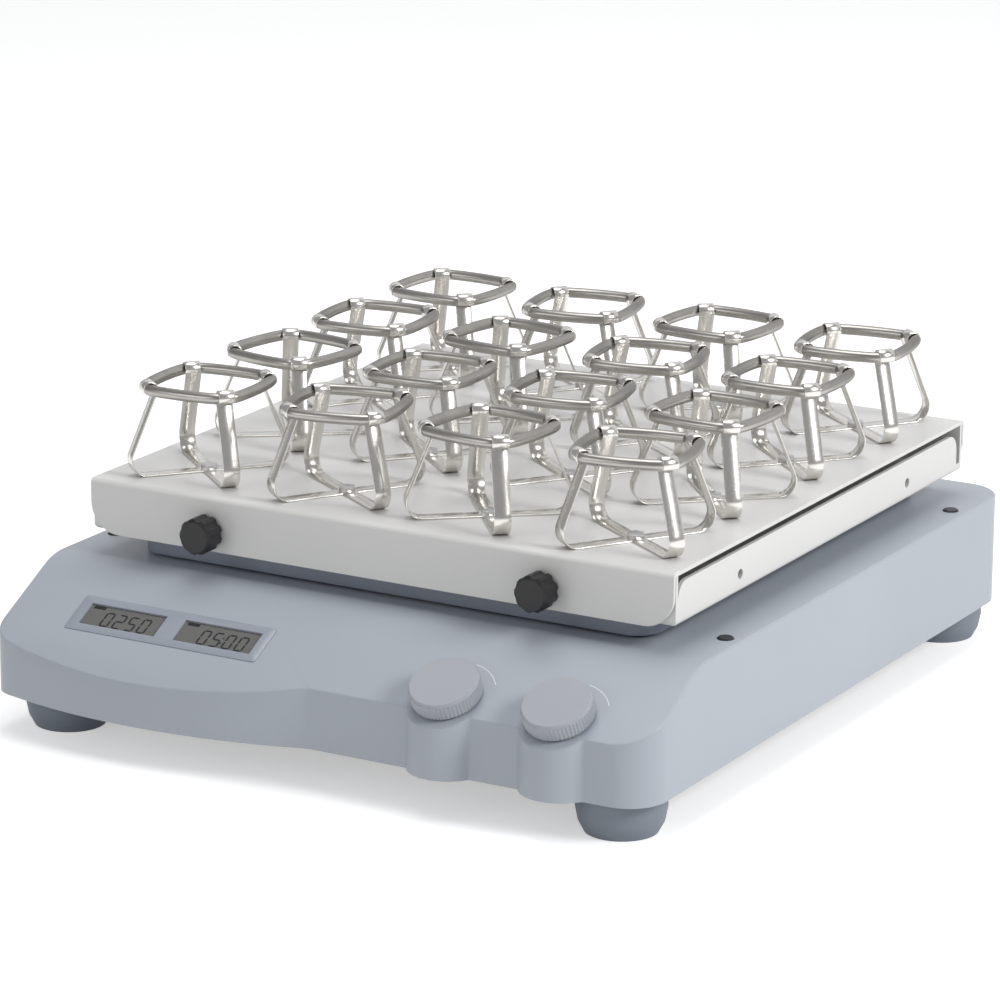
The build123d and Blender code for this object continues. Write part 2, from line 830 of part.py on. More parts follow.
# Power supply on the base plate
supply_x = right_x - supply_inset
supply_board_z = base_top + supply_post_height
supply_parts_z = supply_board_z + board_thickness
with BuildPart() as power_supply:
    with BuildSketch(Plane.XY.offset(supply_board_z)):
        with Locations((supply_x, supply_y)):
            Rectangle(supply_width, supply_depth)
    extrude(amount=board_thickness)
    with BuildSketch(Plane.XY.offset(base_top)):
        with Locations((supply_x, supply_y)):
            with GridLocations(
                supply_width - 2 * supply_post_inset, supply_depth - 2 * supply_post_inset, 2, 2
            ):
                Circle(supply_post_radius)
    extrude(amount=supply_post_height)
    for part_x, part_y, part_width, part_depth, part_height in (
        (-transformer_offset, transformer_offset, transformer_width, transformer_depth, transformer_height),
        (filter_offset, filter_offset, filter_width, filter_depth, filter_height),
        (-coil_offset, -coil_offset, coil_width, coil_width, coil_height),
    ):
        with Locations((supply_x + part_x, supply_y + part_y, supply_parts_z)):
            Box(part_width, part_depth, part_height, align=(Align.CENTER, Align.CENTER, Align.MIN))
    with Locations((supply_x + capacitor_offset, supply_y - 1.5 * capacitor_offset, supply_parts_z)):
        Cylinder(capacitor_radius, capacitor_height, align=(Align.CENTER, Align.CENTER, Align.MIN))
save(power_supply.part, "power_supply")

# Power inlet and rocker switch in the rear recess
rear = Plane(origin=(0, recess_floor_y, recess_z), x_dir=(1, 0, 0), z_dir=(0, 1, 0))
inlet_shell = 1.5
pin_length = inlet_depth - 6.0
with BuildPart() as power_inlet:
    with BuildSketch(rear):
        with Locations((inlet_x, 0)):
            RectangleRounded(inlet_flange_width, inlet_flange_height, 2.0)
    extrude(amount=inlet_flange)
    with BuildSketch(rear):
        with Locations((inlet_x, 0)):
            Rectangle(inlet_width, inlet_height)
    extrude(amount=-inlet_depth)
    with BuildSketch(rear.offset(inlet_flange)):
        with Locations((inlet_x, 0)):
            Rectangle(inlet_width - 2 * inlet_shell, inlet_height - 2 * inlet_shell)
    extrude(amount=-(inlet_depth + inlet_flange - 3.0), mode=Mode.SUBTRACT)
    with BuildSketch(rear.offset(3.0 - inlet_depth)):
        with Locations((inlet_x - 7.0, 2.0), (inlet_x, -2.0), (inlet_x + 7.0, 2.0)):
            Rectangle(2.0, 4.0)
    extrude(amount=pin_length)
save(power_inlet.part, "power_inlet")

pivot_depth = 1.5
trunnion_radius = 1.2
rocker_width = switch_width - 3.2
rocker_half = switch_height / 2 - 2.3
with BuildPart() as switch_frame:
    with BuildSketch(rear):
        with Locations((switch_x, 0)):
            RectangleRounded(switch_width + 3.0, switch_height + 3.6, 1.0)
    extrude(amount=switch_flange)
    with BuildSketch(rear):
        with Locations((switch_x, 0)):
            Rectangle(switch_width, switch_height)
    extrude(amount=-switch_depth)
    with BuildSketch(rear.offset(switch_flange)):
        with Locations((switch_x, 0)):
            Rectangle(rocker_width + 0.6, 2 * rocker_half + 1.8)
    extrude(amount=-(switch_flange + 9.0), mode=Mode.SUBTRACT)
    with Locations(Location((switch_x, recess_floor_y - pivot_depth, recess_z), (0, 90, 0))):
        Cylinder(trunnion_radius + running_clearance, switch_width - 1.0, mode=Mode.SUBTRACT)
save(switch_frame.part, "switch_frame")

rocker_side = Plane(
    origin=(switch_x, recess_floor_y - pivot_depth, recess_z),
    x_dir=(0, cos(radians(rocker_tilt)), sin(radians(rocker_tilt))),
    z_dir=(1, 0, 0),
)
with BuildPart() as power_rocker:
    with BuildSketch(rocker_side):
        with BuildLine():
            Polyline(
                (1.2, 0),
                (3.0, rocker_half),
                (-2.2, rocker_half),
                (-5.5, 0),
                (-2.2, -rocker_half),
                (3.0, -rocker_half),
                close=True,
            )
        make_face()
    extrude(amount=rocker_width / 2, both=True)
    with BuildSketch(rocker_side):
        Circle(trunnion_radius)
    extrude(amount=switch_width / 2 - 0.8, both=True)
save(power_rocker.part, "power_rocker")

# Table plate, its bearings and the lower pan
hub_bottom = plate_underside + body_clearance
rib_bottom = plate_underside + 1.5
skin_bottom = plate_top - plate_skin
idler_pins = [(x, y - throw) for x, y in idler_axes]
pan_screw_places = [
    (side_x * pan_screw_spacing_x / 2, table_y + side_y * pan_screw_spacing_y / 2)
    for side_y in (-1, 1)
    for side_x in (-1, 1)
]
with BuildPart() as table_plate:
    with BuildSketch(Plane.XY.offset(plate_underside)):
        with Locations(table_centre):
            RectangleRounded(plate_width, plate_length, plate_corner_radius)
    extrude(amount=plate_height)
    with BuildSketch(Plane.XY.offset(plate_underside)):
        with Locations(table_centre):
            RectangleRounded(
                plate_width - 2 * plate_skirt,
                plate_length - 2 * plate_skirt,
                plate_corner_radius - plate_skirt,
            )
    extrude(amount=plate_height - plate_skin, mode=Mode.SUBTRACT)
    with BuildSketch(Plane.XY.offset(hub_bottom)):
        with Locations(table_centre):
            Circle(main_pin_bearing_diameter / 2 + 5.0)
        with Locations(*idler_pins):
            Circle(idler_radius + 4.5)
    extrude(amount=skin_bottom - hub_bottom)
    with BuildSketch(Plane.XY.offset(rib_bottom)):
        with Locations(table_centre):
            with GridLocations(idler_spacing / 2, 0, 3, 1):
                Rectangle(plate_rib, plate_length - plate_skirt)
            with GridLocations(0, idler_spacing / 2, 1, 3):
                Rectangle(plate_width - plate_skirt, plate_rib)
    extrude(amount=skin_bottom - rib_bottom)
    with BuildSketch(Plane.XY.offset(hub_bottom)):
        with Locations(table_centre):
            Circle(main_pin_bearing_diameter / 2 + running_clearance)
    pocket_depth = table_bearing_bottom - hub_bottom + main_pin_bearing_width
    extrude(amount=pocket_depth, mode=Mode.SUBTRACT)
    with BuildSketch(Plane.XY.offset(hub_bottom)):
        with Locations(*idler_pins):
            Circle(idler_radius + running_clearance)
    pocket_depth = table_bearing_bottom - hub_bottom + idler_bearing_width
    extrude(amount=pocket_depth, mode=Mode.SUBTRACT)
    with Locations(*[(x, y, plate_top) for x, y in pan_screw_places]):
        Hole(pan_screw_diameter / 2 + running_clearance)
save(table_plate.part, "table_plate")

with BuildPart() as table_bearings:
    add(
        bearing_rings(
            [(*table_centre, table_bearing_bottom)],
            main_pin_bearing_diameter / 2,
            main_pin_diameter / 2,
            main_pin_bearing_width,
        )
    )
    add(
        bearing_rings(
            [(*place, table_bearing_bottom) for place in idler_pins],
            idler_radius,
            idler_journal_diameter / 2,
            idler_bearing_width,
        )
    )
save(table_bearings.part, "table_bearings")

pan_depth = tray_depth - 2 * sheet - 2 * tray_fit
pan_top = tray_top - sheet
side_wall_top = plate_top + pan_wall_height
side_hole_z = plate_top + side_hole_height


def folded_block(inset):
    """Space inside the pan's folded walls, or its outside when inset is zero."""
    with BuildPart() as block:
        with BuildSketch(Plane.XY.offset(plate_top + inset)):
            with Locations(table_centre):
                Rectangle(pan_width - 2 * inset, pan_depth - 2 * inset)
        extrude(amount=pan_top - plate_top - inset)
        fillet(block.faces().sort_by(Axis.Z)[0].edges(), radius=bend_radius - inset)
    return block.part


side_wall_front = table_y - pan_depth / 2 + sheet
side_wall_rear = table_y + pan_depth / 2 - sheet
with BuildPart() as lower_pan:
    add(folded_block(0))
    add(folded_block(sheet), mode=Mode.SUBTRACT)
    with BuildSketch(Plane.YZ):
        cut_bottom = floor_top + bend_radius
        with Locations((side_wall_front, cut_bottom)):
            Rectangle(
                side_wall_rear - side_wall_front,
                pan_top - cut_bottom,
                align=(Align.MIN, Align.MIN),
            )
        with Locations(((side_wall_front + side_wall_rear - pan_rear_gap) / 2, floor_top)):
            RectangleRounded(
                side_wall_rear - side_wall_front - pan_rear_gap,
                2 * (side_wall_top - floor_top),
                pan_corner_radius,
                mode=Mode.SUBTRACT,
            )
    extrude(amount=pan_width, both=True, mode=Mode.SUBTRACT)
    for side_plane, centre in ((Plane.XZ, 0), (Plane.YZ, table_y)):
        with BuildSketch(side_plane):
            with Locations((centre, side_hole_z)):
                with GridLocations(side_hole_spacing, 0, 2, 1):
                    Circle(side_hole_diameter / 2)
        extrude(amount=2 * pan_width, both=True, mode=Mode.SUBTRACT)
    with Locations(*[(x, y, floor_top) for x, y in pan_screw_places]):
        Hole(pan_screw_diameter / 2 + running_clearance)
save(lower_pan.part, "lower_pan")

with BuildPart() as pan_screws:
    with BuildSketch(Plane.XY.offset(floor_top)):
        with Locations(*pan_screw_places):
            Circle(pan_screw_diameter)
    extrude(amount=3.0)
    with BuildSketch(Plane.XY.offset(floor_top)):
        with Locations(*pan_screw_places):
            Circle(pan_screw_diameter / 2)
    extrude(amount=-(sheet + plate_skin - 0.5))
save(pan_screws.part, "pan_screws")

# Upper tray
clamp_places = [
    [
        (
            (column - (clamps_per_side - 1) / 2) * clamp_pitch,
            table_y + (row - (clamps_per_side - 1) / 2) * clamp_pitch,
            45.0 + clamp_turns[row][column],
        )
        for column in range(clamps_per_side)
    ]
    for row in range(clamps_per_side)
]
all_clamp_places = [place for row in clamp_places for place in row]
with BuildPart() as upper_tray:
    with Locations((0, table_y, tray_top)):
        Box(tray_width, tray_depth, tray_skirt, align=(Align.CENTER, Align.CENTER, Align.MAX))
    top_bends = upper_tray.edges().filter_by(Axis.X).group_by(Axis.Z)[-1]
    fillet(top_bends, radius=bend_radius)
    with BuildPart(mode=Mode.SUBTRACT):
        with Locations((0, table_y, tray_top - sheet)):
            Box(
                tray_width + 2.0,
                tray_depth - 2 * sheet,
                tray_skirt,
                align=(Align.CENTER, Align.CENTER, Align.MAX),
            )
        inner_bends = edges().filter_by(Axis.X).group_by(Axis.Z)[-1]
        fillet(inner_bends, radius=bend_radius - sheet)
    skirt_corners = upper_tray.edges().filter_by(Axis.Y).group_by(Axis.Z)[0]
    fillet(skirt_corners, radius=tray_skirt_radius)
    with BuildSketch(Plane.XZ):
        with Locations((0, side_hole_z)):
            with GridLocations(side_hole_spacing, 0, 2, 1):
                Circle(thumb_stud_diameter / 2 + body_clearance)
    extrude(amount=2 * tray_depth, both=True, mode=Mode.SUBTRACT)
    with BuildSketch(Plane.XY.offset(tray_top)):
        with Locations(*[(x, y) for x, y, turn in all_clamp_places]):
            Circle(clamp_screw_diameter / 2 + running_clearance)
    extrude(amount=-sheet, mode=Mode.SUBTRACT)
save(upper_tray.part, "upper_tray")

# Flask clamps: a crossed pair of spring strips with hooked ends, a ring through the hooks
bend_path_radius = strip_bend_radius + strip_thickness / 2
bend_r = strip_reach - strip_bend_radius - strip_thickness
bend_z = strip_thickness + strip_bend_radius
hook_path_radius = ring_tube_radius + hook_clearance + strip_thickness / 2
centre_distance = hypot(ring_radius - bend_r, ring_height - bend_z)
centre_direction = degrees(atan2(ring_height - bend_z, ring_radius - bend_r))
tangent_angle = degrees(acos((bend_path_radius + hook_path_radius) / centre_distance))
lean = centre_direction - tangent_angle
bend_step = (90.0 + lean) / bend_steps
hook_step = hook_sweep / hook_steps


def around(centre, radius, angle):
    """Point on a circle, the angle in degrees from the outward direction."""
    return (centre[0] + radius * cos(radians(angle)), centre[1] + radius * sin(radians(angle)))


strip_path = [
    around(
        (bend_r, bend_z),
        bend_path_radius / cos(radians(bend_step / 2)),
        -90.0 + bend_step * (step + 0.5),
    )
    for step in range(bend_steps)
]
strip_path += [
    around(
        (ring_radius, ring_height),
        hook_path_radius / cos(radians(hook_step / 2)),
        180.0 + lean - hook_step * (step + 0.5),
    )
    for step in range(hook_steps)
]
strip_path += [around((ring_radius, ring_height), hook_path_radius, 180.0 + lean - hook_sweep)]


def mitred(path, distance, closed=False):
    """The path moved sideways by a distance, its corners kept sharp."""
    moved = []
    for index, point in enumerate(path):
        before = path[index - 1] if closed or index > 0 else None
        after = path[(index + 1) % len(path)] if closed or index < len(path) - 1 else None
        normals = []
        for start, end in ((before, point), (point, after)):
            if start is not None and end is not None:
                length = hypot(end[0] - start[0], end[1] - start[1])
                normals.append(((start[1] - end[1]) / length, (end[0] - start[0]) / length))
        if len(normals) == 1:
            normals = normals * 2
        sum_x = normals[0][0] + normals[1][0]
        sum_y = normals[0][1] + normals[1][1]
        scale = 2 * distance / (sum_x**2 + sum_y**2)
        moved.append((point[0] + scale * sum_x, point[1] + scale * sum_y))
    return moved


whole_path = [(-r, z) for r, z in reversed(strip_path)] + strip_path
with BuildPart() as clamp_legs:
    for strip_turn in (0, 90):
        strip_plane = Plane.XZ.rotated((0, 0, strip_turn))
        with BuildSketch(strip_plane):
            with BuildLine():
                Polyline(
                    *mitred(whole_path, strip_thickness / 2),
                    *reversed(mitred(whole_path, -strip_thickness / 2)),
                    close=True,
                )
            make_face()
        extrude(amount=strip_width / 2, both=True)
    with Locations((0, 0, strip_thickness)):
        Hole(clamp_screw_diameter / 2 + running_clearance)

ring_corner = strip_width / 2 + 1.4
ring_path = []
for hook in range(4):
    middle = (ring_radius + ring_corner) / sqrt(2) + ring_bow
    for radius, angle in (
        (hypot(ring_radius, ring_corner), -degrees(atan2(ring_corner, ring_radius))),
        (hypot(ring_radius, ring_corner), degrees(atan2(ring_corner, ring_radius))),
        (middle, 45.0),
    ):
        ring_path.append(around((0, 0), radius, 90.0 * hook + angle))
with BuildPart() as clamp_ring:
    with BuildSketch(Plane.XY.offset(ring_height - ring_tube_radius)):
        Polygon(*mitred(ring_path, -ring_tube_radius, closed=True), align=None)
        Polygon(
            *mitred(ring_path, ring_tube_radius, closed=True),
            align=None,
            mode=Mode.SUBTRACT,
        )
    extrude(amount=2 * ring_tube_radius)
    rim_edges = clamp_ring.edges().group_by(Axis.Z)
    chamfer(rim_edges[-1] + rim_edges[0], length=ring_chamfer)

for row in range(clamps_per_side):
    spots = [Location((x, y, tray_top), (0, 0, turn)) for x, y, turn in clamp_places[row]]
    with BuildPart() as legs_row:
        with Locations(*spots):
            add(clamp_legs.part)
    save(legs_row.part, f"clamp_legs_row_{row + 1}")
    with BuildPart() as rings_row:
        with Locations(*spots):
            add(clamp_ring.part)
    save(rings_row.part, f"clamp_rings_row_{row + 1}")

with BuildPart() as clamp_screws:
    with BuildSketch(Plane.XY.offset(tray_top + strip_thickness)):
        with Locations(*[(x, y) for x, y, turn in all_clamp_places]):
            RegularPolygon(clamp_screw_head / 2, 6)
    extrude(amount=clamp_screw_head_height)
    with BuildSketch(Plane.XY.offset(tray_top + strip_thickness)):
        with Locations(*[(x, y) for x, y, turn in all_clamp_places]):
            Circle(clamp_screw_diameter / 2)
    extrude(amount=-clamp_screw_length)
save(clamp_screws.part, "clamp_screws")

# Thumb screws through the tray's skirt into the pan, with their washers
scallop_reach = thumb_diameter / 2 + thumb_scallop_radius - thumb_scallop_depth
for side_y, side_word in ((-1, "front"), (1, "rear")):
    skirt_y = table_y + side_y * tray_depth / 2
    for side_x, side_end in ((-1, "left"), (1, "right")):
        outward = Plane(
            origin=(side_x * side_hole_spacing / 2, skirt_y, side_hole_z),
            x_dir=(1, 0, 0),
            z_dir=(0, side_y, 0),
        )
        with BuildPart() as thumb_washer:
            with BuildSketch(outward.offset(washer_gap)):
                Circle(washer_diameter / 2)
                Circle(thumb_stud_diameter / 2 + 2 * running_clearance, mode=Mode.SUBTRACT)
            extrude(amount=washer_thickness)
        save(thumb_washer.part, f"thumb_washer_{side_word}_{side_end}")
        head_bottom = 2 * washer_gap + washer_thickness
        with BuildPart() as thumb_screw:
            with BuildSketch(outward.offset(head_bottom)):
                Circle(thumb_diameter / 2)
            extrude(amount=thumb_length)
            outer_face = thumb_screw.faces().sort_by(Axis((0, 0, 0), outward.z_dir))[-1]
            chamfer(outer_face.edges(), length=thumb_chamfer)
            with BuildSketch(outward.offset(head_bottom)):
                with PolarLocations(scallop_reach, thumb_scallops):
                    Circle(thumb_scallop_radius)
            extrude(amount=thumb_length, mode=Mode.SUBTRACT)
            with BuildSketch(outward.offset(head_bottom)):
                Circle(thumb_stud_diameter / 2)
            extrude(amount=-thumb_stud_length)
        save(thumb_screw.part, f"thumb_screw_{side_word}_{side_end}")
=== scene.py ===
import math

import bpy
from mathutils import Matrix, Vector


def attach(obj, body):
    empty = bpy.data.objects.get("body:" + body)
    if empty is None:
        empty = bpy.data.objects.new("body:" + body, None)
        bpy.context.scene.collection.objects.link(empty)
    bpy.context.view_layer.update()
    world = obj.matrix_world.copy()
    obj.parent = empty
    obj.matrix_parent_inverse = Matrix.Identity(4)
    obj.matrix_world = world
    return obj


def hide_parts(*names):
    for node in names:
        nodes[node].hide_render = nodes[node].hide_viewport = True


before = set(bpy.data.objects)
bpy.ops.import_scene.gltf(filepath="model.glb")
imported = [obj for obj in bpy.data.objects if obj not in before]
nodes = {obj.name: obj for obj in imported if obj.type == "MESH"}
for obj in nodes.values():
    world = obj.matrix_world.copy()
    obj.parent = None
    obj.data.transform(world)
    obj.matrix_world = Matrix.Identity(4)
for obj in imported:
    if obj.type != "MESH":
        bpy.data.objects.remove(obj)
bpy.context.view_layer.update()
scene = bpy.context.scene

TABLE_Y = 28.4
TRAY_TOP = 118.5
PANEL_ANGLE = math.radians(27.7)
PANEL_ORIGIN = Vector((0.0, -146.0, 78.6))
PANEL_RIGHT = Vector((1.0, 0.0, 0.0))
PANEL_UP = Vector((0.0, math.cos(PANEL_ANGLE), math.sin(PANEL_ANGLE)))
PANEL_OUT = Vector((0.0, -math.sin(PANEL_ANGLE), math.cos(PANEL_ANGLE)))
MM = 0.001


# Materials
def srgb(red, green, blue):
    """Linear colour of an 8-bit screen colour."""
    out = []
    for value in (red, green, blue):
        c = value / 255
        out.append(c / 12.92 if c <= 0.04045 else ((c + 0.055) / 1.055) ** 2.4)
    return (*out, 1.0)


def surface(
    name,
    colour,
    rough,
    metal=0.0,
    mottle=0.04,
    mottle_scale=30.0,
    grain=0.0,
    grain_scale=1500.0,
    rough_spread=0.06,
    coat=0.0,
    stretch=(1.0, 1.0, 1.0),
    specular=0.5,
):
    """Principled surface with cloudy colour, uneven gloss and a fine grain in its bump."""
    material = bpy.data.materials.new(name)
    material.use_nodes = True
    tree = material.node_tree
    links = tree.links
    shader = tree.nodes["Principled BSDF"]
    shader.inputs["Metallic"].default_value = metal
    shader.inputs["Coat Weight"].default_value = coat
    shader.inputs["Coat Roughness"].default_value = 0.2
    shader.inputs["Specular IOR Level"].default_value = specular
    place = tree.nodes.new("ShaderNodeTexCoord")
    mapping = tree.nodes.new("ShaderNodeMapping")
    mapping.inputs["Scale"].default_value = stretch
    links.new(place.outputs["Object"], mapping.inputs["Vector"])
    cloud = tree.nodes.new("ShaderNodeTexNoise")
    cloud.inputs["Scale"].default_value = mottle_scale
    cloud.inputs["Detail"].default_value = 4.0
    links.new(mapping.outputs["Vector"], cloud.inputs["Vector"])
    tint = tree.nodes.new("ShaderNodeValToRGB")
    tint.color_ramp.elements[0].position = 0.3
    tint.color_ramp.elements[1].position = 0.7
    tint.color_ramp.elements[0].color = tuple(c * (1 - mottle) for c in colour[:3]) + (1.0,)
    tint.color_ramp.elements[1].color = (
        *(min(1.0, c * (1 + mottle)) for c in colour[:3]), 1.0
    )
    links.new(cloud.outputs["Fac"], tint.inputs["Fac"])
    links.new(tint.outputs["Color"], shader.inputs["Base Color"])
    fine = tree.nodes.new("ShaderNodeTexNoise")
    fine.inputs["Scale"].default_value = grain_scale
    fine.inputs["Detail"].default_value = 3.0
    links.new(mapping.outputs["Vector"], fine.inputs["Vector"])
    gloss = tree.nodes.new("ShaderNodeMapRange")
    gloss.inputs["To Min"].default_value = max(0.02, rough - rough_spread)
    gloss.inputs["To Max"].default_value = min(1.0, rough + rough_spread)
    links.new(fine.outputs["Fac"], gloss.inputs["Value"])
    links.new(gloss.outputs["Result"], shader.inputs["Roughness"])
    if grain > 0:
        bump = tree.nodes.new("ShaderNodeBump")
        bump.inputs["Strength"].default_value = 1.0
        bump.inputs["Distance"].default_value = grain * MM
        links.new(fine.outputs["Fac"], bump.inputs["Height"])
        links.new(bump.outputs["Normal"], shader.inputs["Normal"])
    return material


housing_paint = surface(
    "housing_paint", srgb(170, 176, 185), 0.44, mottle=0.02, mottle_scale=9, grain=0.012,
    grain_scale=1400, coat=0.12,
)
table_paint = surface(
    "table_paint", srgb(140, 147, 160), 0.5, mottle=0.03, mottle_scale=12, grain=0.02,
    grain_scale=1100,
)
base_paint = surface(
    "base_paint", srgb(120, 124, 130), 0.55, mottle=0.05, grain=0.02, grain_scale=900,
)
tray_coat = surface(
    "tray_coat", srgb(221, 220, 218), 0.4, mottle=0.012, mottle_scale=14, grain=0.02,
    grain_scale=900, coat=0.1,
)
foot_rubber = surface(
    "foot_rubber", srgb(126, 134, 144), 0.62, mottle=0.05, grain=0.03, grain_scale=1300,
)
knob_plastic = surface(
    "knob_plastic", srgb(168, 172, 178), 0.5, mottle=0.02, grain=0.015, grain_scale=1800,
)
bezel_plastic = surface(
    "bezel_plastic", srgb(154, 160, 171), 0.3, mottle=0.02, grain=0.006, grain_scale=1800,
    coat=0.2,
)
black_plastic = surface(
    "black_plastic", srgb(26, 26, 28), 0.38, mottle=0.15, grain=0.012, grain_scale=1500,
)
thumb_plastic = surface(
    "thumb_plastic", srgb(28, 28, 30), 0.42, mottle=0.15, grain=0.02, grain_scale=1500,
)
plug_rubber = surface("plug_rubber", srgb(34, 34, 37), 0.4, mottle=0.1, grain=0.01)
belt_rubber = surface("belt_rubber", srgb(28, 28, 28), 0.7, mottle=0.2, grain=0.03)
lcd_face = surface("lcd_face", srgb(104, 104, 102), 0.25, mottle=0.03, mottle_scale=40, coat=0.6)
lcd_ink = surface("lcd_ink", srgb(28, 29, 32), 0.35, mottle=0.1)
print_white = surface("print_white", srgb(226, 229, 233), 0.5, mottle=0.03)
strip_steel = surface(
    "strip_steel", srgb(222, 219, 214), 0.24, metal=1.0, mottle=0.03, mottle_scale=60,
    grain=0.003, grain_scale=700, rough_spread=0.08,
)
ring_steel = surface(
    "ring_steel", srgb(176, 173, 168), 0.3, metal=1.0, mottle=0.08, mottle_scale=90,
    grain=0.004, grain_scale=900,
)
screw_steel = surface(
    "screw_steel", srgb(198, 198, 198), 0.3, metal=1.0, mottle=0.05, grain=0.005,
)
turned_steel = surface(
    "turned_steel", srgb(186, 186, 188), 0.28, metal=1.0, mottle=0.04, grain=0.004,
    stretch=(1, 1, 12),
)
cast_metal = surface(
    "cast_metal", srgb(168, 172, 178), 0.5, metal=1.0, mottle=0.06, grain=0.04,
    grain_scale=700,
)
grey_iron = surface(
    "grey_iron", srgb(92, 94, 98), 0.6, metal=0.8, mottle=0.12, grain=0.05, grain_scale=600,
)
board_green = surface(
    "board_green", srgb(38, 96, 58), 0.45, mottle=0.12, mottle_scale=120, grain=0.02,
)

wear = {
    "housing_shell": housing_paint,
    "base_plate": base_paint,
    "motor_bracket": base_paint,
    "foot_screws": screw_steel,
    "housing_screws": screw_steel,
    "pan_screws": screw_steel,
    "hole_plugs": plug_rubber,
    "display_bezel": bezel_plastic,
    "lcd_modules": lcd_face,
    "control_board": board_green,
    "power_supply": board_green,
    "encoder_bodies": cast_metal,
    "speed_rotor": cast_metal,
    "time_rotor": cast_metal,
    "speed_knob": knob_plastic,
    "time_knob": knob_plastic,
    "main_bearing_housing": cast_metal,
    "idler_bearing_housings": cast_metal,
    "drive_pulley": cast_metal,
    "motor_pulley": cast_metal,
    "counterweight": grey_iron,
    "motor": black_plastic,
    "drive_belt": belt_rubber,
    "power_inlet": black_plastic,
    "switch_frame": black_plastic,
    "power_rocker": black_plastic,
    "table_plate": table_paint,
    "lower_pan": tray_coat,
    "upper_tray": tray_coat,
    "clamp_screws": screw_steel,
}
for name, node in nodes.items():
    if name.startswith("foot_") and name != "foot_screws":
        wear[name] = foot_rubber
    elif name.startswith("thumb_screw"):
        wear[name] = thumb_plastic
    elif name.startswith("thumb_washer"):
        wear[name] = screw_steel
    elif name.startswith("clamp_legs"):
        wear[name] = strip_steel
    elif name.startswith("clamp_rings"):
        wear[name] = ring_steel
    node.data.materials.clear()
    node.data.materials.append(wear.get(name, turned_steel))


# CAD nodes: welded, softened where they are touched or seen close, smooth between sharp edges
def dress(node, bevel=0.0, segments=2, sharp=32.0):
    weld = node.modifiers.new("weld", "WELD")
    weld.merge_threshold = 0.000002
    if bevel > 0:
        soft = node.modifiers.new("soft", "BEVEL")
        soft.width = bevel * MM
        soft.segments = segments
        soft.limit_method = "ANGLE"
        soft.angle_limit = math.radians(30)
    split = node.modifiers.new("split", "EDGE_SPLIT")
    split.split_angle = math.radians(sharp)
    if "custom_normal" in node.data.attributes:
        node.data.attributes.remove(node.data.attributes["custom_normal"])
    node.data.shade_smooth()


softened = {
    "display_bezel": 0.25,
    "table_plate": 0.5,
    "power_inlet": 0.4,
    "switch_frame": 0.3,
    "power_rocker": 0.3,
    "clamp_screws": 0.25,
}
for name, node in nodes.items():
    dress(node, bevel=softened.get(name, 0.0))


def made(name, verts, faces, material, body, smooth=True):
    """A mesh piece from points in millimetres, riding on a body."""
    mesh = bpy.data.meshes.new(name)
    mesh.from_pydata([tuple(c * MM for c in v) for v in verts], [], faces)
    mesh.validate()
    mesh.update()
    if smooth:
        mesh.shade_smooth()
    piece = bpy.data.objects.new(name, mesh)
    scene.collection.objects.link(piece)
    piece.data.materials.append(material)
    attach(piece, body)
    return piece


# Spring clamps
STRIP_WIDTH = 8.5
STRIP_THICK = 0.8
BEND_CENTRE = Vector((33.2, 8.8))
BEND_R = 8.4
RING_CENTRE = Vector((31.2, 45.5))
TUBE_R = 2.9
HOOK_R = 3.6
CLAMP_TURNS = ((4, 12, -6, 11), (-9, 3, 8, -4), (6, -7, 10, 2), (-3, 9, -5, 7))
CLAMP_PITCH = 82.0
gap = RING_CENTRE - BEND_CENTRE
LEAN = math.atan2(gap.y, gap.x) - math.acos((BEND_R + HOOK_R) / gap.length)


def strip_path(start):
    """Centre line of one leg from the clamp's base to the end of its hook."""
    path = [Vector((start, STRIP_THICK / 2)), Vector((16.0, STRIP_THICK / 2))]
    for step in range(13):
        angle = -math.pi / 2 + (math.pi / 2 + LEAN) * step / 12
        path.append(BEND_CENTRE + BEND_R * Vector((math.cos(angle), math.sin(angle))))
    for step in range(29):
        angle = math.pi + LEAN - math.radians(232) * step / 28
        path.append(RING_CENTRE + HOOK_R * Vector((math.cos(angle), math.sin(angle))))
    return path


def strip(path, turn, verts, faces):
    """Adds a flat strip with rounded edges that follows a path in its own upright plane."""
    half, thick, edge = STRIP_WIDTH / 2, STRIP_THICK / 2, 0.22
    section = [
        (-half, -thick + edge), (-half + edge, -thick),
        (half - edge, -thick), (half, -thick + edge),
        (half, thick - edge), (half - edge, thick), (-half + edge, thick), (-half, thick - edge),
    ]
    start = len(verts)
    cos_t, sin_t = math.cos(turn), math.sin(turn)
    for index, point in enumerate(path):
        before = path[max(0, index - 1)]
        after = path[min(len(path) - 1, index + 1)]
        along = (after - before).normalized()
        normal = Vector((-along.y, along.x))
        for across, up in section:
            r = point.x + normal.x * up
            z = point.y + normal.y * up
            verts.append((r * cos_t - across * sin_t, r * sin_t + across * cos_t, z))
    n = len(section)
    for index in range(len(path) - 1):
        for k in range(n):
            a = start + index * n + k
            b = start + index * n + (k + 1) % n
            faces.append((a, b, b + n, a + n))
    last = start + (len(path) - 1) * n
    faces.append(tuple(start + k for k in reversed(range(n))))
    faces.append(tuple(last + k for k in range(n)))


def ring_line(count):
    """Closed line of the spring ring, bowed between the hooks."""
    corners = []
    for hook in range(4):
        for radius, angle in ((31.71, -10.26), (31.2, 0.0), (31.71, 10.26), (27.6, 45.0)):
            a = math.radians(90 * hook + angle)
            corners.append(Vector((radius * math.cos(a), radius * math.sin(a))))
    line = []
    n = len(corners)
    for index in range(n):
        p0, p1, p2, p3 = (corners[(index + k - 1) % n] for k in range(4))
        for step in range(count):
            t = step / count
            line.append(
                0.5 * (2 * p1 + (p2 - p0) * t + (2 * p0 - 5 * p1 + 4 * p2 - p3) * t * t
                       + (3 * p1 - p0 - 3 * p2 + p3) * t**3)
            )
    return line


